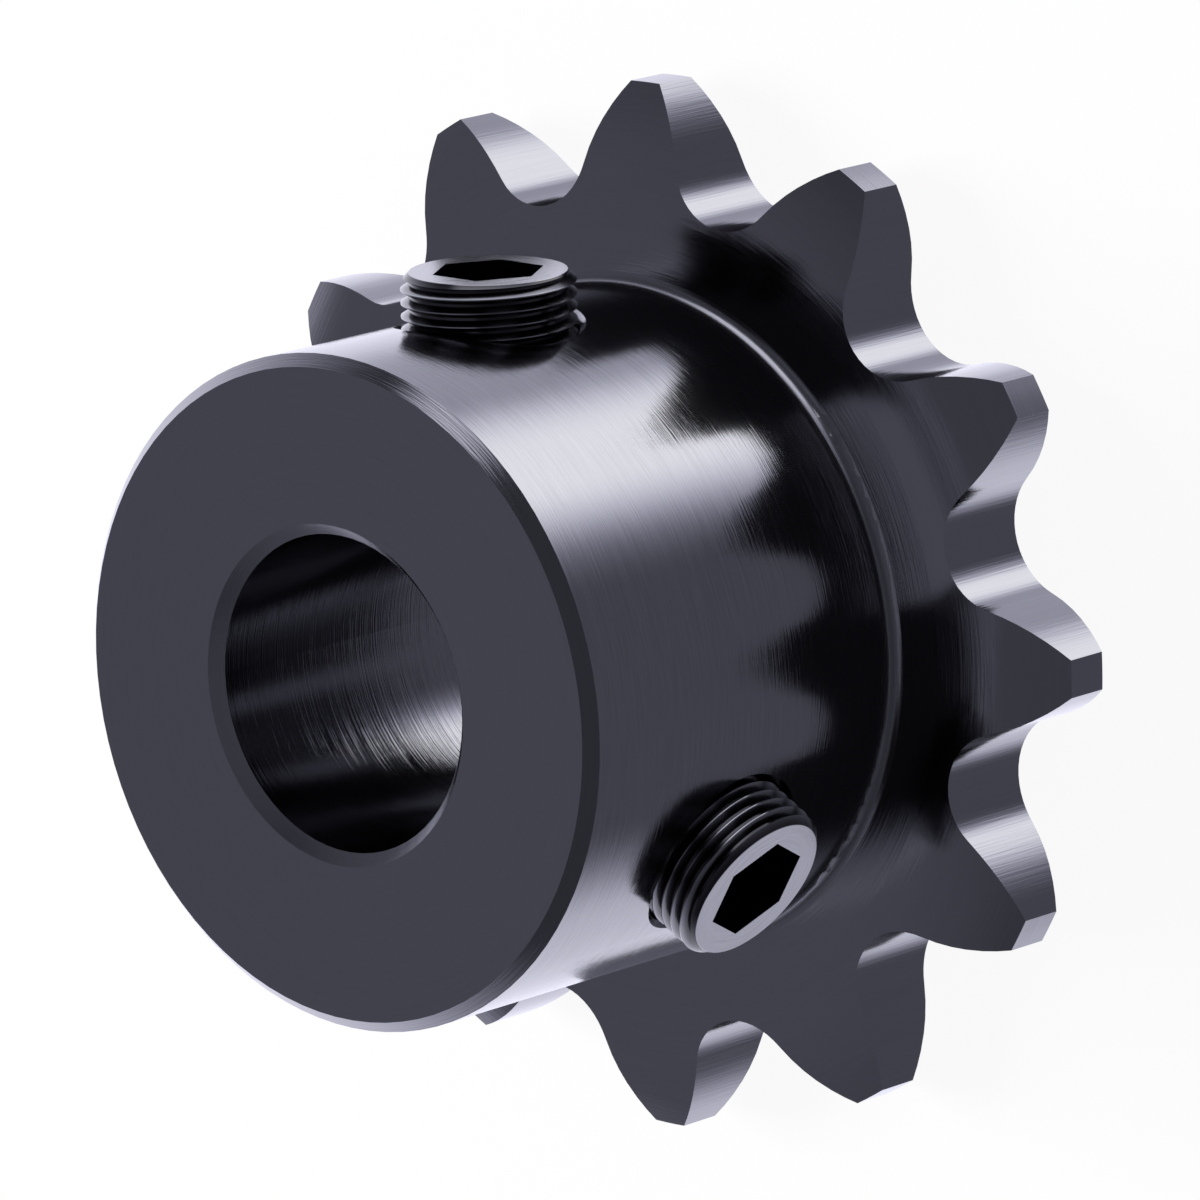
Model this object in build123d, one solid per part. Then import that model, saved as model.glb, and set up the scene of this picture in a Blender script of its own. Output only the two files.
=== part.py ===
from build123d import *
import os
from math import atan2, cos, radians, sin

# Driving dimensions, in millimetres and degrees. The bore runs along Z, and the flat back of the
# toothed plate lies on Z = 0 with the hub above it.

# Roller chain of 1/4 inch pitch, and the tooth form that carries its rollers
chain_pitch = 6.35
roller_diameter = 3.302
tooth_count = 12
roller_clearance = 0.01
seat_angle = 122.0
flank_radius = 5.2
flank_sweep_angle = 38.0
addendum = 1.3

# Toothed plate, thinned on both sides towards the tips so that the chain links find their way on
plate_thickness = 2.79
tip_thickness = 1.2
relief_height = 3.6

# Hub and bore
overall_length = 14.0
hub_diameter = 17.0
bore_diameter = 8.0
hub_chamfer = 0.3
bore_chamfer = 0.3
hub_fillet = 0.3

# Set screws, and their tapped holes through the hub wall
screw_count = 2
screw_spacing_angle = -120.0
screw_height = 8.0
screw_diameter = 4.4
screw_length = 5.0
screw_stand_out = 1.2
face_chamfer = 0.2
thread_clearance = 0.05
mouth_chamfer = 0.15

# Hex socket and flat point of a set screw
socket_across_flats = 2.5
socket_depth = 2.2
point_chamfer = 0.7

# Sizes that follow from the ones above
half_pitch_angle = 180 / tooth_count
pitch_radius = chain_pitch / 2 / sin(radians(half_pitch_angle))
seat_radius = roller_diameter / 2 + roller_clearance
tip_radius = pitch_radius + addendum
side_relief = (plate_thickness - tip_thickness) / 2
hub_radius = hub_diameter / 2
bore_radius = bore_diameter / 2
screw_radius = screw_diameter / 2
screw_angles = [number * screw_spacing_angle for number in range(screw_count)]


def corner(sketch, x, y):
    """The corner of a sketch nearest to a point."""
    return sketch.vertices().sort_by_distance((x, y))[0]


def blank_section():
    """Half of the turned blank, cut through the bore axis: radius along Y, height along Z."""
    relief_start = tip_radius - relief_height
    tip_angle = 2 * atan2(side_relief, relief_height)
    rising = (cos(tip_angle), sin(tip_angle))
    falling = (cos(tip_angle), -sin(tip_angle))
    with BuildSketch(Plane.YZ) as section:
        with BuildLine():
            inner = Line((bore_radius, overall_length), (bore_radius, 0))
            back = Line(inner @ 1, (relief_start, 0))
            back_relief = Spline(back @ 1, (tip_radius, side_relief), tangents=((1, 0), rising))
            tip = Line(back_relief @ 1, (tip_radius, side_relief + tip_thickness))
            front = Line((hub_radius, plate_thickness), (relief_start, plate_thickness))
            Spline(front @ 1, tip @ 1, tangents=((1, 0), falling))
            outer = Line(front @ 0, (hub_radius, overall_length))
            Line(outer @ 1, inner @ 0)
        make_face()
        fillet(corner(section, hub_radius, plate_thickness), hub_fillet)
        chamfer(corner(section, hub_radius, overall_length), hub_chamfer)
        chamfer(corner(section, bore_radius, overall_length), bore_chamfer)
        chamfer(corner(section, bore_radius, 0), bore_chamfer)
    return section.sketch


def tooth_gap():
    """One gap between teeth on the +X side: a concave roller seat between two convex flanks."""
    with BuildSketch() as gap:
        with BuildLine():
            seat = CenterArc((pitch_radius, 0), seat_radius, 180 - seat_angle / 2, seat_angle / 2)
            flank = JernArc(seat @ 0, -(seat % 0), flank_radius, flank_sweep_angle)
            lead_out = Line(flank @ 1, flank @ 1 + (flank % 1) * addendum)
            Line(lead_out @ 1, ((lead_out @ 1).X, 0))
            mirror(about=Plane.XZ)
        make_face()
    return gap.sketch


def screw_plane(angle, radius):
    """Plane across a set screw's axis, facing outward at this distance from the bore axis."""
    outward = Vector(1, 0).rotate(Axis.Z, angle)
    around = Vector(0, 0, 1).cross(outward)
    return Plane(outward * radius + Vector(0, 0, screw_height), x_dir=around, z_dir=outward)


def sprocket_body():
    """Hub and toothed plate in one piece: turned, bored, toothed, then drilled for its screws."""
    with BuildPart() as body:
        add(blank_section())
        revolve(axis=Axis.Z)
        with BuildSketch():
            with PolarLocations(0, tooth_count, start_angle=half_pitch_angle):
                add(tooth_gap())
        extrude(amount=plate_thickness, mode=Mode.SUBTRACT)
        wall_middle = (bore_radius + hub_radius) / 2
        for angle in screw_angles:
            hole_plane = screw_plane(angle, 0)
            with BuildSketch(hole_plane):
                Circle(screw_radius + thread_clearance)
            extrude(amount=hub_radius + screw_stand_out, mode=Mode.SUBTRACT)
            rims = body.edges(Select.NEW)
            outer_rim = rims.filter_by(lambda edge: (edge @ 0.5 - hole_plane.origin).length > wall_middle)
            chamfer(outer_rim, mouth_chamfer)
    return body.part


def set_screw():
    """Headless screw with a hex socket and a flat point: outer face on Z = 0, point below."""
    with BuildPart() as screw:
        with BuildSketch(Plane.XZ) as section:
            with Locations((screw_radius / 2, -screw_length / 2)):
                Rectangle(screw_radius, screw_length)
            chamfer(corner(section, screw_radius, 0), face_chamfer)
            chamfer(corner(section, screw_radius, -screw_length), point_chamfer)
        revolve(axis=Axis.Z)
        with BuildSketch():
            RegularPolygon(socket_across_flats / 2, 6, major_radius=False)
        extrude(amount=-socket_depth, mode=Mode.SUBTRACT)
    return screw.part


os.makedirs("parts", exist_ok=True)
export_step(sprocket_body(), "parts/sprocket_body.step")
for number, angle in enumerate(screw_angles, start=1):
    seated_screw = screw_plane(angle, hub_radius + screw_stand_out) * set_screw()
    export_step(seated_screw, f"parts/set_screw_{number}.step")
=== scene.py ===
from math import cos, pi, radians, sin, sqrt

import bpy
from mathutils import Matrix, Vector


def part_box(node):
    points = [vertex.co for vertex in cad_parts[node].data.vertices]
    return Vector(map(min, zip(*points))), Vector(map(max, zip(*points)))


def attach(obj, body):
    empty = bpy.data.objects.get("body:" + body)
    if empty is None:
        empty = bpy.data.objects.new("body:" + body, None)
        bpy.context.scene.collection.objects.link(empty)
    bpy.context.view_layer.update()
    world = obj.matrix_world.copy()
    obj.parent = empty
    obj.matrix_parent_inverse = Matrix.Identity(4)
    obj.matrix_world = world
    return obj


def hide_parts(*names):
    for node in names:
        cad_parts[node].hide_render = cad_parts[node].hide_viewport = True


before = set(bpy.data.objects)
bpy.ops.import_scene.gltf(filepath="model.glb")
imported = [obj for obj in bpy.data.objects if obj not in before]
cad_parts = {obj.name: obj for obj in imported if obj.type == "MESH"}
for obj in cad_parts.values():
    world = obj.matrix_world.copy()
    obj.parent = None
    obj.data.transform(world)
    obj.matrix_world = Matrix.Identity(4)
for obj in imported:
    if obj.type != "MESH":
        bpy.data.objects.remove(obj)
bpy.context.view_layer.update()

# Sprocket body
# Hub and toothed plate are one piece of turned steel under a black oxide finish. The lathe leaves
# fine rings on the faces, the hub and the bore, and the cutter leaves lines along the teeth.
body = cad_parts["sprocket_body"]
millimetre = 0.001
bore_radius = 4.0
bore_margin = 0.05
mouth_radius = 4.3
mouth_height = 13.7
mouth_rounding = 115.0
rounding_end = 8.0
foot_radius = 8.82
foot_bottom = 1.0
foot_top = 3.12
root_circle = 10.3
tip_circle = 13.55
steel_colour = (0.30, 0.30, 0.32, 1)
steel_roughness = 0.13
foot_roughness = 0.26
line_roughness = 0.1
line_relief = 0.0000035
line_contrast = 0.15
hub_line_contrast = 0.4
rings_per_millimetre = 20
ring_arc = 5
bore_ring_arc = 1
milling_across = 16
milling_along = 0.35


class Signal:
    """An output of a shader node. Arithmetic on it adds Math nodes to the same material."""

    def __init__(self, tree, socket=None):
        self.tree = tree
        self.socket = socket

    def add(self, kind, settings=None, inputs=None, output=0):
        """A new node of this kind: first its settings, then the values or links of its sockets."""
        node = self.tree.nodes.new(kind)
        for name, value in (settings or {}).items():
            setattr(node, name, value)
        for key, value in (inputs or {}).items():
            if isinstance(value, Signal):
                self.tree.links.new(value.socket, node.inputs[key])
            else:
                node.inputs[key].default_value = value
        return Signal(self.tree, node.outputs[output])

    def pin(self, name):
        """Another output of the same node."""
        return Signal(self.tree, self.socket.node.outputs[name])

    def math(self, operation, *others):
        return self.add("ShaderNodeMath", {"operation": operation}, dict(enumerate((self, *others))))

    def __add__(self, other):
        return self.math("ADD", other)

    def __sub__(self, other):
        return self.math("SUBTRACT", other)

    def __rsub__(self, other):
        return (self * -1) + other

    def __mul__(self, other):
        return self.math("MULTIPLY", other)

    def __truediv__(self, other):
        return self.math("DIVIDE", other)

    def __lt__(self, other):
        return self.math("LESS_THAN", other)

    def __gt__(self, other):
        return self.math("GREATER_THAN", other)

    __radd__ = __add__
    __rmul__ = __mul__

    def blend(self, other, share):
        """This number where share is 0 and the other where it is 1."""
        return self * (1 - share) + other * share


def new_material(name):
    """An empty material: its start signal and its Principled shader."""
    material = bpy.data.materials.new(name)
    material.use_nodes = True
    return material, Signal(material.node_tree), material.node_tree.nodes["Principled BSDF"]


def own_axes(start, place=(0, 0, 0), turn=(0, 0, 0)):
    """X, Y, Z and the distance from the Z axis, in millimetres, of a piece turned and placed so."""
    spot = start.add("ShaderNodeTexCoord", output="Object")
    frame_of_piece = {"Vector": spot, "Location": place, "Rotation": turn}
    spot = start.add("ShaderNodeMapping", {"vector_type": "TEXTURE"}, frame_of_piece)
    axes = start.add("ShaderNodeSeparateXYZ", None, {"Vector": spot})
    x, y, z = (axes.pin(name) / millimetre for name in "XYZ")
    return x, y, z, (x * x + y * y).math("SQRT")


def fine_lines(start, x, y, z, w):
    """Noise that is drawn out into lines along the coordinates that change slowly."""
    vector = start.add("ShaderNodeCombineXYZ", None, {"X": x, "Y": y, "Z": z})
    inputs = {"Vector": vector, "W": w, "Scale": 1.0, "Detail": 2.0, "Roughness": 0.6}
    return start.add("ShaderNodeTexNoise", {"noise_dimensions": "4D"}, inputs)


def finish_steel(start, shader, colour, shade, lines, relief, roughness):
    """Black steel whose brush lines show in its colour, its gloss and its relief, and whose shade can
    also hold painted shade.
    """
    level = start.add("ShaderNodeCombineColor", None, {"Red": shade, "Green": shade, "Blue": shade})
    mixing = {"data_type": "RGBA", "blend_type": "MULTIPLY"}
    tint = start.add("ShaderNodeMix", mixing, {"Factor": 1.0, 6: colour, 7: level}, output=2)
    bump = start.add("ShaderNodeBump", None, {"Distance": line_relief, "Height": relief})
    links = start.tree.links
    links.new(tint.socket, shader.inputs["Base Color"])
    gloss = lines * line_roughness + (roughness - line_roughness / 2)
    links.new(gloss.socket, shader.inputs["Roughness"])
    links.new(bump.socket, shader.inputs["Normal"])
    shader.inputs["Metallic"].default_value = 1.0


steel, start, shader = new_material("turned_black_steel")
x, y, z, radius = own_axes(start)
in_bore = radius < bore_radius + bore_margin
arc = in_bore * (bore_ring_arc - ring_arc) + ring_arc
depth, outward = z * rings_per_millimetre, radius * rings_per_millimetre
rings = fine_lines(start, x / radius * arc, y / radius * arc, depth, outward)
milling = fine_lines(start, x * milling_across, y * milling_across, z * milling_along, 0.0)
normal = start.add("ShaderNodeNewGeometry", output="Normal")
upward = start.add("ShaderNodeSeparateXYZ", None, {"Vector": normal}, output="Z")
upright = upward.math("ABSOLUTE") < 0.5
flank = upright * (radius > root_circle) * (radius < tip_circle)
lines = rings.blend(milling, flank)
on_hub = upright * (radius < root_circle) * (radius > mouth_radius)
shade = (lines - 0.5) * (on_hub * (hub_line_contrast - line_contrast) + line_contrast) + 1
foot = (radius < foot_radius) * (z < foot_top) * (z > foot_bottom)
roughness = foot * (foot_roughness - steel_roughness) + steel_roughness

# In the bump's relief, the chamfer at the bore's mouth leans into the end face without a sharp edge; the
# mesh itself keeps its sharp edge.
past_mouth = (z - mouth_height).math("MAXIMUM", 0.0)
near_mouth = ((rounding_end - radius) / (rounding_end - mouth_radius)).math("MAXIMUM", 0.0)
relief = lines * (in_bore + 1) - past_mouth * near_mouth * mouth_rounding
finish_steel(start, shader, steel_colour, shade, lines, relief, roughness)
body.data.materials.clear()
body.data.materials.append(steel)

# Set screws
# Two headless screws with a hex socket and a flat point, blackened like the body. Each one is turned
# into its tapped hole in the hub wall, in line with a tooth, and stands a little proud of the hub.
screw_nodes = ["set_screw_1", "set_screw_2"]
screw_angles = [0, radians(-120)]
screw_low, screw_high = (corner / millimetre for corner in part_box("set_screw_1"))
screw_face = screw_high.x
screw_height = (screw_low.z + screw_high.z) / 2
screw_length = screw_high.x - screw_low.x
crest_radius = (screw_high.z - screw_low.z) / 2
thread_pitch = 0.34
thread_depth = 0.21
root_flat = 0.2
crest_start, crest_end = 0.56, 0.64
turns_below_point = 2.5
spare_turns = 4
spare = 0.1
face_chamfer = 0.22
point_chamfer = 0.7
socket_flats = 2.5
socket_depth = 2.2
round_steps = 120
weld = 0.0001
sliver = 0.001
smooth_angle = radians(35)
screw_roughness = 0.18
screw_line_contrast = 0.3
screw_ring_arc = 2
screw_rings = 9
groove_shade = 0.2


def draw_profile(name, points):
    """An object of edges through these points, each vertex extruded from the one before."""
    bpy.ops.object.select_all(action="DESELECT")
    bpy.ops.mesh.primitive_plane_add(size=1)
    drawing = bpy.context.object
    drawing.name = name
    bpy.ops.object.mode_set(mode="EDIT")
    bpy.ops.mesh.merge(type="CENTER")
    last = Vector((0, 0, 0))
    for number, (across, height) in enumerate(points):
        point = Vector((across, 0, height))
        if number == 0:
            bpy.ops.transform.translate(value=point)
        else:
            bpy.ops.mesh.extrude_region_move(TRANSFORM_OT_translate={"value": point - last})
        last = point
    bpy.ops.object.mode_set(mode="OBJECT")
    return drawing


def turn_on_lathe(name, points):
    """A closed solid that has this profile all round its Z axis."""
    solid = draw_profile(name, points)
    bpy.ops.object.mode_set(mode="EDIT")
    bpy.ops.mesh.select_all(action="SELECT")
    bpy.ops.mesh.spin(steps=round_steps, angle=2 * pi, center=(0, 0, 0), axis=(0, 0, 1))
    bpy.ops.mesh.select_all(action="SELECT")
    bpy.ops.mesh.remove_doubles(threshold=weld)
    bpy.ops.mesh.normals_make_consistent(inside=False)
    bpy.ops.object.mode_set(mode="OBJECT")
    return solid


def carve(target, tool, operation):
    """The target after a boolean with the tool, which is then used up."""
    bpy.ops.object.select_all(action="DESELECT")
    target.select_set(True)
    bpy.context.view_layer.objects.active = target
    cut = target.modifiers.new(tool.name, "BOOLEAN")
    cut.operation = operation
    cut.solver = "EXACT"
    cut.object = tool
    bpy.ops.object.modifier_apply(modifier=cut.name)
    bpy.data.objects.remove(tool)


root_radius = crest_radius - thread_depth
thread_turns = int(screw_length / thread_pitch) + spare_turns
rod = draw_profile("rolled_rod", [
    (root_radius, 0),
    (root_radius, thread_pitch * root_flat),
    (crest_radius, thread_pitch * crest_start),
    (crest_radius, thread_pitch * crest_end),
    (root_radius, thread_pitch),
])
bpy.ops.object.mode_set(mode="EDIT")
bpy.ops.mesh.select_all(action="SELECT")
bpy.ops.transform.translate(value=(0, 0, -screw_length - thread_pitch * turns_below_point))
bpy.ops.object.mode_set(mode="OBJECT")
helix = rod.modifiers.new("thread", "SCREW")
helix.steps = round_steps
helix.render_steps = round_steps
helix.screw_offset = thread_pitch
helix.iterations = thread_turns + 1
helix.use_merge_vertices = True
helix.merge_threshold = weld
bpy.ops.object.modifier_apply(modifier=helix.name)
bpy.ops.object.mode_set(mode="EDIT")
for height, outward in ((spare, 1), (-screw_length - spare, -1)):
    bpy.ops.mesh.select_all(action="SELECT")
    bpy.ops.mesh.bisect(
        plane_co=(0, 0, height), plane_no=(0, 0, outward), use_fill=True, clear_outer=True, threshold=0
    )
bpy.ops.mesh.select_all(action="SELECT")
bpy.ops.mesh.remove_doubles(threshold=weld)
bpy.ops.mesh.fill_holes(sides=0)
bpy.ops.mesh.normals_make_consistent(inside=False)
bpy.ops.object.mode_set(mode="OBJECT")

blank = turn_on_lathe("blank", [
    (0, 0),
    (crest_radius - face_chamfer, 0),
    (crest_radius + spare, -face_chamfer - spare),
    (crest_radius + spare, point_chamfer + spare - screw_length),
    (crest_radius - point_chamfer, -screw_length),
    (0, -screw_length),
])
carve(rod, blank, "INTERSECT")
bpy.ops.object.select_all(action="DESELECT")
bpy.ops.mesh.primitive_cylinder_add(vertices=6, radius=socket_flats / sqrt(3), depth=socket_depth * 2)
carve(rod, bpy.context.object, "DIFFERENCE")
bpy.ops.object.mode_set(mode="EDIT")
bpy.ops.mesh.select_all(action="SELECT")
bpy.ops.mesh.remove_doubles(threshold=sliver)
bpy.ops.mesh.dissolve_degenerate(threshold=sliver)
bpy.ops.object.mode_set(mode="OBJECT")

for node, angle in zip(screw_nodes, screw_angles):
    screw = rod.copy()
    screw.data = rod.data.copy()
    screw.name = node + "_threaded"
    bpy.context.scene.collection.objects.link(screw)
    bpy.ops.object.select_all(action="DESELECT")
    screw.select_set(True)
    bpy.context.view_layer.objects.active = screw
    screw.scale = (millimetre, millimetre, millimetre)
    screw.rotation_euler = (0, pi / 2, angle)
    screw.location = Vector((screw_face * cos(angle), screw_face * sin(angle), screw_height)) * millimetre
    place, turn = tuple(screw.location), tuple(screw.rotation_euler)
    bpy.ops.object.transform_apply(location=True, rotation=True, scale=True)
    bpy.ops.object.shade_smooth_by_angle(angle=smooth_angle)
    steel, start, shader = new_material(node + "_black_steel")
    x, y, z, radius = own_axes(start, place, turn)
    across, along = x / radius * screw_ring_arc, y / radius * screw_ring_arc
    lines = fine_lines(start, across, along, z * screw_rings, radius * screw_rings)
    # Painted shade: below the crest radius the colour darkens down to a fifth, in the thread grooves, the
    # hex socket and the point, and the screw's flat face keeps its full colour.
    crest = ((radius - root_radius) / thread_depth).math("MAXIMUM", 0.0)
    face = z > -0.01
    painted_shade_in_grooves = (crest * crest * (1 - groove_shade) + groove_shade).math("MAXIMUM", face)
    shade = (lines * screw_line_contrast + (1 - screw_line_contrast / 2)) * painted_shade_in_grooves
    finish_steel(start, shader, steel_colour, shade, lines, lines, screw_roughness)
    screw.data.materials.append(steel)
    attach(screw, "root")
    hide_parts(node)
bpy.data.objects.remove(rod)

# Floor and light
# A plain white floor, a soft lamp behind the part, and the studio that its steel mirrors: a light tent
# below with a dark flag, a dim sky above, and a small card that shows only in a mirror's mirror.
floor_size = 6.0
floor_white = (0.8, 0.8, 0.8, 1)
floor_glow = 0.93
white = (1, 1, 1, 1)
key_azimuth, key_elevation = 86, 35
key_distance = 0.4
key_size = 0.2
key_power = 2.5
second_mirror = 1.5
bpy.ops.object.select_all(action="DESELECT")
bpy.ops.mesh.primitive_plane_add(size=floor_size, location=(0, 0, 0))
floor = bpy.context.object
floor.name = "floor"
floor.visible_glossy = False
floor.visible_shadow = False


def stage_material(name):
    """An empty material with an output that a stage surface can be linked to."""
    material = bpy.data.materials.new(name)
    material.use_nodes = True
    tree = material.node_tree
    tree.nodes.clear()
    output = tree.nodes.new("ShaderNodeOutputMaterial")
    return material, Signal(tree), output.inputs["Surface"]


material, start, surface = stage_material("white_floor")
seen = start.add("ShaderNodeLightPath", output="Is Camera Ray")
paint = start.add("ShaderNodeBsdfDiffuse", None, {"Color": floor_white})
glow = start.add("ShaderNodeEmission", None, {"Color": white, "Strength": 1.0})
mixed = start.add("ShaderNodeMixShader", None, {0: seen * floor_glow, 1: paint, 2: glow})
start.tree.links.new(mixed.socket, surface)
floor.data.materials.append(material)


def direction(azimuth, elevation):
    """A unit vector, from degrees."""
    azimuth, elevation = radians(azimuth), radians(elevation)
    return Vector((cos(elevation) * cos(azimuth), cos(elevation) * sin(azimuth), sin(elevation)))


lamp = bpy.data.lights.new("key", "AREA")
lamp.size = key_size
lamp.energy = key_power
key = bpy.data.objects.new("key", lamp)
bpy.context.scene.collection.objects.link(key)
key.location = direction(key_azimuth, key_elevation) * key_distance
key.rotation_euler = direction(key_azimuth, key_elevation).to_track_quat("Z", "Y").to_euler()
key.visible_camera = False
key.visible_glossy = False

card_radius = 0.0144
card_bottom, card_top = 0.0099, 0.018
card_start, card_sweep = radians(-32.5), radians(54)
card_steps = 18
card_colour = (1, 1, 1.2, 1)
card_glow = 0.62
card = draw_profile("card", [(card_radius, card_bottom), (card_radius, card_top)])
bpy.ops.object.mode_set(mode="EDIT")
bpy.ops.mesh.select_all(action="SELECT")
bpy.ops.mesh.spin(steps=card_steps, angle=card_sweep, center=(0, 0, 0), axis=(0, 0, 1))
bpy.ops.object.mode_set(mode="OBJECT")
card.rotation_euler = (0, 0, card_start)
bpy.ops.object.transform_apply(location=True, rotation=True, scale=True)
card.visible_camera = False
card.visible_diffuse = False
card.visible_shadow = False
material, start, surface = stage_material("white_card")
mirrored_twice = start.add("ShaderNodeLightPath", output="Glossy Depth") > second_mirror
clear = start.add("ShaderNodeBsdfTransparent")
glow = start.add("ShaderNodeEmission", None, {"Color": card_colour, "Strength": card_glow})
mixed = start.add("ShaderNodeMixShader", None, {0: mirrored_twice, 1: clear, 2: glow})
start.tree.links.new(mixed.socket, surface)
card.data.materials.append(material)

world = bpy.data.worlds.new("studio")
bpy.context.scene.world = world
world.use_nodes = True
world.node_tree.nodes.clear()
start = Signal(world.node_tree)
way = start.add("ShaderNodeTexCoord", output="Generated")
height = start.add("ShaderNodeSeparateXYZ", None, {"Vector": way}, output="Z")
level = start.add("ShaderNodeVectorMath", {"operation": "MULTIPLY"}, {0: way, 1: (1, 1, 0)})
level = start.add("ShaderNodeVectorMath", {"operation": "NORMALIZE"}, {0: level})


def toward(vector, azimuth, elevation=0):
    """How far a vector points this way, from -1 to 1."""
    inputs = {0: vector, 1: direction(azimuth, elevation)}
    return start.add("ShaderNodeVectorMath", {"operation": "DOT_PRODUCT"}, inputs, output="Value")


def rise(value, low, high, bottom=0.0, top=1.0):
    """A smooth step from bottom to top as the value goes from low to high."""
    inputs = {"Value": value, "From Min": low, "From Max": high, "To Min": bottom, "To Max": top}
    return start.add("ShaderNodeMapRange", {"interpolation_type": "SMOOTHSTEP"}, inputs)


def glow_within(value, outer, inner, strength):
    """A soft patch of light: none outside the outer angle and all of it within the inner one."""
    return rise(value, cos(radians(outer)), cos(radians(inner)), 0.0, strength)


# The tent, with a hotter and a dimmer patch, and the flag that darkens it on one side
tent_level = 1.18
flag_level = 0.16
flag = glow_within(toward(level, -101), 80, 40, 1.0)
hot = glow_within(toward(way, -14, -44), 24, 6, 1.15)
dip = glow_within(toward(way, 34, -46), 27, 8, 0.42)
tent = (hot - dip + tent_level).blend(flag_level, flag)

# The sky, dim at the zenith, with a bright strip near the horizon
zenith_level = 0.12
strip = glow_within(toward(way, -4, 7), 31, 20, 1.6)
sky = rise(toward(level, 108), 0.1, 1.0, 0.07, 0.175).blend(zenith_level, rise(height, 0.7, 1.0))
mirror = (sky + strip).blend(tent, rise(height, 0.36, -0.25))

# What is mirrored twice is much darker than the studio. The cosine of three times the azimuth puts
# three faint glints below the horizon, which the bore repeats as streaks.
echo_level = 0.02
echo_zenith_level = 0.45
tent_share = 0.05
echo = glow_within(toward(level, 125), 62, 36, 0.38) + echo_level
echo = echo.blend(echo_zenith_level, rise(height, 0.83, 0.93))
swing = toward(level, 85)
glints = rise((swing * swing * 4 - 3) * swing, 0.6, 1.0, 0.0, 0.28)
echo = echo.blend(tent * tent_share + glints, rise(height, 0.2, -0.1))
rays = start.add("ShaderNodeLightPath", output="Is Camera Ray")
mirror = mirror.blend(echo, rays.pin("Glossy Depth") > second_mirror)

# Blue is a little stronger, most in the dim parts
blue_gain = 1.28
blue_loss = 0.11
blue = mirror * (blue_gain - mirror * blue_loss)
steel_sees = start.add("ShaderNodeCombineColor", None, {0: mirror, 1: mirror, 2: blue})
even_light = (0.35, 0.35, 0.36, 1)


def choose(share, first, second):
    """The first colour where share is 0 and the second where it is 1."""
    return start.add("ShaderNodeMix", {"data_type": "RGBA"}, {0: share, 6: first, 7: second}, output=2)


shown = choose(rays.pin("Is Glossy Ray"), even_light, steel_sees)
shown = choose(rays, shown, white)
back = start.add("ShaderNodeBackground", None, {"Color": shown, "Strength": 1.0})
output = start.tree.nodes.new("ShaderNodeOutputWorld")
start.tree.links.new(back.socket, output.inputs["Surface"])

# Camera
# A long lens looks down on the hub end from about a quarter of a metre away. The camera is rolled,
# so that the bore axis lies on its side and the hub end faces left, as in the photograph.
camera_data = bpy.data.cameras.new("camera")
camera_data.lens = 305.8
camera_data.clip_start = 0.01
camera_data.shift_x = 0.0016
camera_data.shift_y = -0.0023
camera = bpy.data.objects.new("camera", camera_data)
bpy.context.scene.collection.objects.link(camera)
camera.location = (0.05692, -0.16854, 0.19033)
camera.rotation_euler = (radians(-13.886), radians(41.837), radians(-91.890))
bpy.context.scene.camera = camera
bpy.context.scene.view_settings.view_transform = "Standard"
